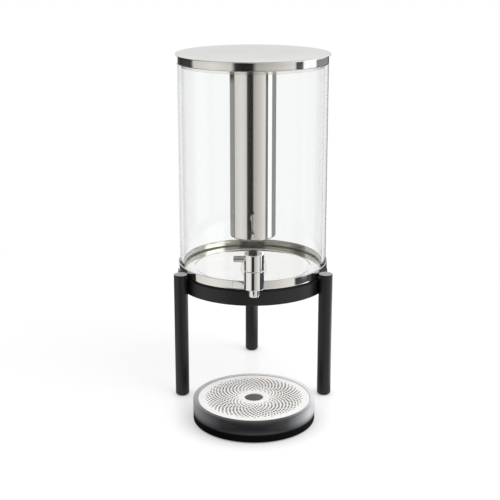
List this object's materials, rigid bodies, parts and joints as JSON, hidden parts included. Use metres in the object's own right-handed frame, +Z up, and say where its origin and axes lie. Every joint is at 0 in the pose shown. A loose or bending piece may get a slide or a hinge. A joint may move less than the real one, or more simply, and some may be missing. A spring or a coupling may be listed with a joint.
{
  "type": "drink dispenser with tap and drip tray",
  "caption": "Gravity-fed drink dispenser: clear cylinder in a steel pan on a legged stand, lid with a steel ice tube, quarter-turn tap and a separate drip tray with a perforated grille.",
  "frame": {"origin": "middle of the whole footprint on the table, under the stand and the drip tray together", "axes": "+Z up, -Y towards the front, where the tap and the drip tray are, +X to the right as seen from the front"},
  "size_m": [0.2116, 0.3314, 0.4583],
  "materials": {
    "black_coat": "satin powder coat",
    "dark_steel": "black oxide",
    "black_rubber": "matt",
    "polished_steel": "mirror polished",
    "silicone": "translucent silicone",
    "clear_wall": "clear, polished",
    "chrome": "polished",
    "brass": "turned",
    "black_plastic": "matt",
    "smoky_plastic": "frosted, smoky",
    "pale_steel": "satin"
  },
  "bodies": {
    "stand": {"stand_ring": "black_coat", "leg_left": "black_coat", "leg_right": "black_coat", "leg_back": "black_coat", "leg_screws": "dark_steel", "leg_feet": "black_rubber", "seat_gasket": "black_rubber"},
    "container": {"base_pan": "polished_steel", "base_seal": "silicone", "cylinder": "clear_wall", "tap_body": "chrome", "tap_shank": "chrome", "tap_flange": "chrome", "tap_outer_washer": "silicone", "tap_inner_washer": "silicone", "tap_nut": "chrome", "tap_spout": "chrome", "tap_bonnet": "brass"},
    "tap_handle": {"tap_plug": "brass", "plug_rings": "black_rubber", "tap_knob": "chrome", "tap_lever": "chrome"},
    "lid": {"lid_shell": "polished_steel", "lid_ring": "polished_steel", "lid_seal": "silicone", "tube_collar": "polished_steel"},
    "cooler": {"ice_tube": "polished_steel", "tube_base": "polished_steel", "tube_pins": "polished_steel"},
    "tray": {"tray_base": "black_plastic", "tray_shell": "smoky_plastic", "tray_pads": "black_rubber"},
    "grille": {"tray_grille": "pale_steel"}
  },
  "joints": [
    {"name": "container_lift", "type": "slide", "parent": "stand", "child": "container", "axis": [0, 0, 1], "range_m": [0, 0.08]},
    {"name": "tap_turn", "type": "hinge", "parent": "container", "child": "tap_handle", "pos_m": [0, -0.087, 0.1935], "axis": [0, 0, 1], "range_deg": [0, 90]},
    {"name": "lid_lift", "type": "slide", "parent": "container", "child": "lid", "axis": [0, 0, 1], "range_m": [0, 0.3]},
    {"name": "tube_twist", "type": "hinge", "parent": "lid", "child": "cooler", "pos_m": [0, 0.045, 0.4468], "axis": [0, 0, 1], "range_deg": [0, 30]},
    {"name": "tray_slide", "type": "slide", "parent": "stand", "child": "tray", "axis": [0, -1, 0], "range_m": [0, 0.15]},
    {"name": "grille_lift", "type": "slide", "parent": "tray", "child": "grille", "axis": [0, 0, 1], "range_m": [0, 0.04]}
  ]
}
